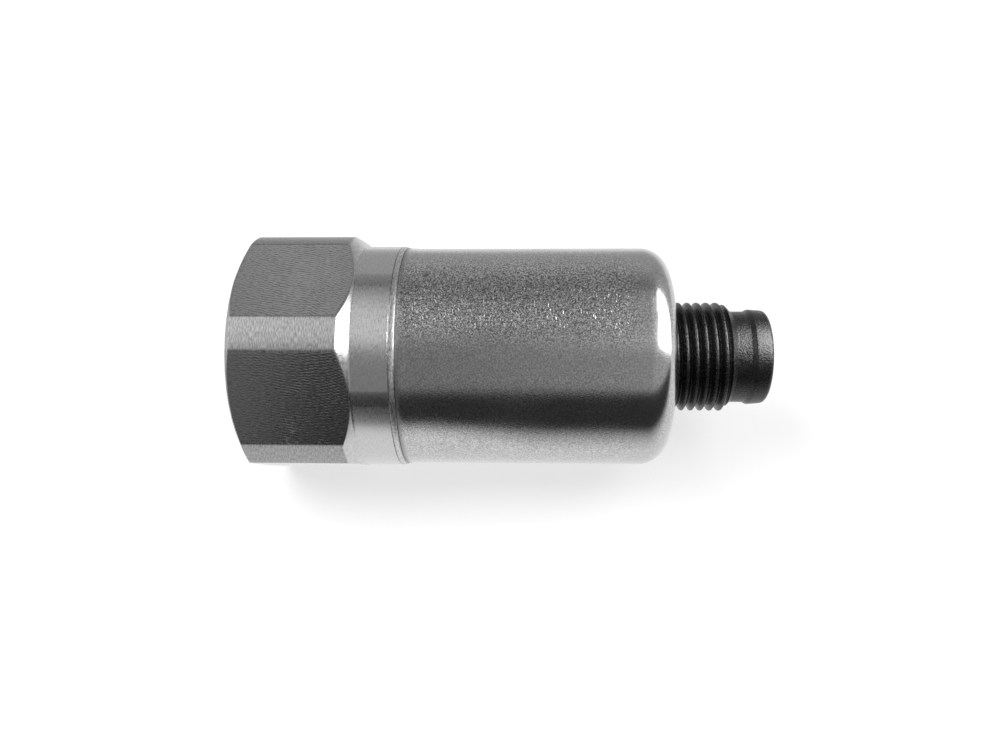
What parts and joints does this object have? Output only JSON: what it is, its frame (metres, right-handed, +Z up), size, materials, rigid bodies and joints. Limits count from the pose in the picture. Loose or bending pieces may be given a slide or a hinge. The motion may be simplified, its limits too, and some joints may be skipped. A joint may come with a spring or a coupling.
{
  "type": "pressure transmitter",
  "caption": "Stainless pressure transmitter: hexagonal screw-on port with a valve opener, round welded can and a black round plug.",
  "frame": {"origin": "centre of the port's end face, on the axis; the thread's wall starts 0.42 mm inside it", "axes": "+X runs along the axis from the port to the plug's tip; +Z is up, square to the hexagon's upper flat; the part lies on the lower flat"},
  "size_m": [0.0547, 0.026, 0.024],
  "materials": {
    "stainless_machined": "turned and milled stainless steel",
    "stainless_drawn": "polished deep-drawn stainless steel",
    "weld_bead": "rippled laser weld",
    "plug_plastic": "glossy black moulding",
    "contact_plating": "gold-plated contact brass",
    "opener_brass": "plain turned brass",
    "cell_steel": "fine-ground measuring cell",
    "gauge_layer": "dark gauge film",
    "circuit_laminate": "green solder-masked laminate",
    "wire_aluminium": "drawn aluminium wire",
    "carrier_plastic": "dark glass-filled moulding",
    "sleeve_plastic": "thin polyester sleeve",
    "flex_film": "amber polyimide strip",
    "chip_plastic": "moulded chip package",
    "chip_ceramic": "ceramic chip with tinned ends",
    "spring_steel": "bright spring strip",
    "solder": "bright solder",
    "seal_rubber": "nitrile rubber",
    "resin": "cast resin"
  },
  "bodies": {
    "root": {"pressure_port": "stainless_machined", "valve_depressor": "opener_brass", "sensor_cell": "cell_steel", "gauge_film": "gauge_layer", "contact_ring_board": "circuit_laminate", "bond_wires": "wire_aluminium", "ground_spring": "spring_steel", "weld_seam": "weld_bead", "housing_can": "stainless_drawn", "connector_body": "plug_plastic", "contact_pin_1": "contact_plating", "contact_pin_2": "contact_plating", "contact_pin_3": "contact_plating", "contact_pin_4": "contact_plating", "flange_seal": "seal_rubber", "pin_seal_disc": "resin", "solder_joints": "solder", "board_carrier": "carrier_plastic", "insulating_sleeve": "sleeve_plastic", "main_board": "circuit_laminate", "board_link": "flex_film", "signal_chip": "chip_plastic", "regulator_chip": "chip_plastic", "chip_capacitors": "chip_ceramic", "chip_resistors": "chip_ceramic", "protection_diodes": "chip_plastic"}
  },
  "joints": []
}
